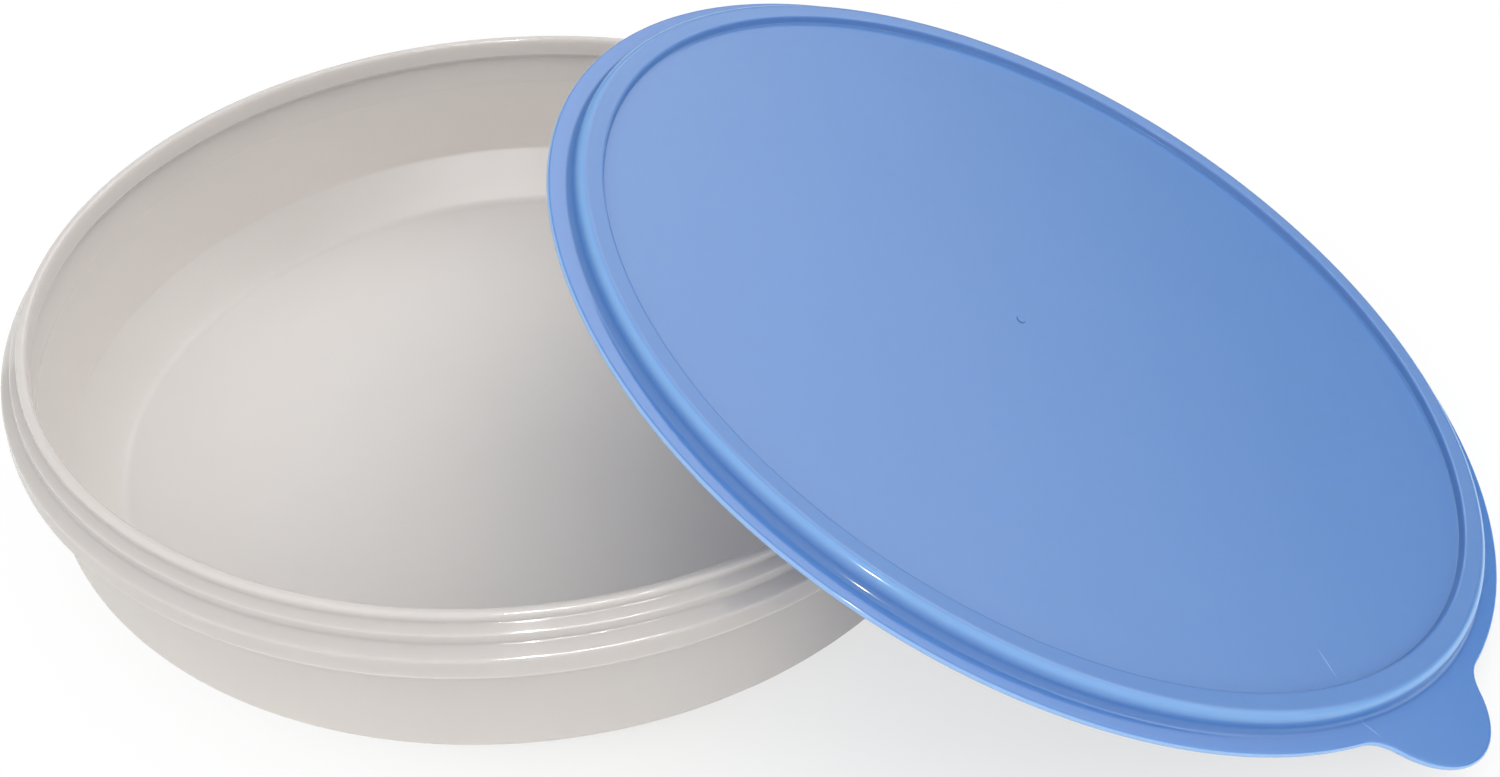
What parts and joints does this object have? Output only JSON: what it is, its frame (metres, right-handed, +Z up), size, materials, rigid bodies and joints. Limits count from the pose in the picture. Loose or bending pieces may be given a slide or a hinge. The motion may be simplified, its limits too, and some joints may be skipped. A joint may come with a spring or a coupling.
{
  "type": "freezer container",
  "caption": "Round shallow food container with a collar under its lip, and a flat press-on lid with a raised sealing ring and a thumb tab, leaning on the rim.",
  "frame": {"origin": "centre of the container's base, on the table", "axes": "+Z up along the container's axis; +X is the way the lid leans, from the container's axis to the lid's low edge on the table"},
  "size_m": [0.3216, 0.219, 0.0828],
  "materials": {
    "container": "milky translucent polypropylene, satin gloss",
    "lid": "soft blue polyethylene, satin"
  },
  "bodies": {
    "container": {"container": "container"},
    "lid": {"lid": "lid"}
  },
  "joints": [
    {"name": "lid_lift", "type": "slide", "parent": "container", "child": "lid", "axis": [0, 0, 1], "range_m": [0, 0.06]}
  ]
}
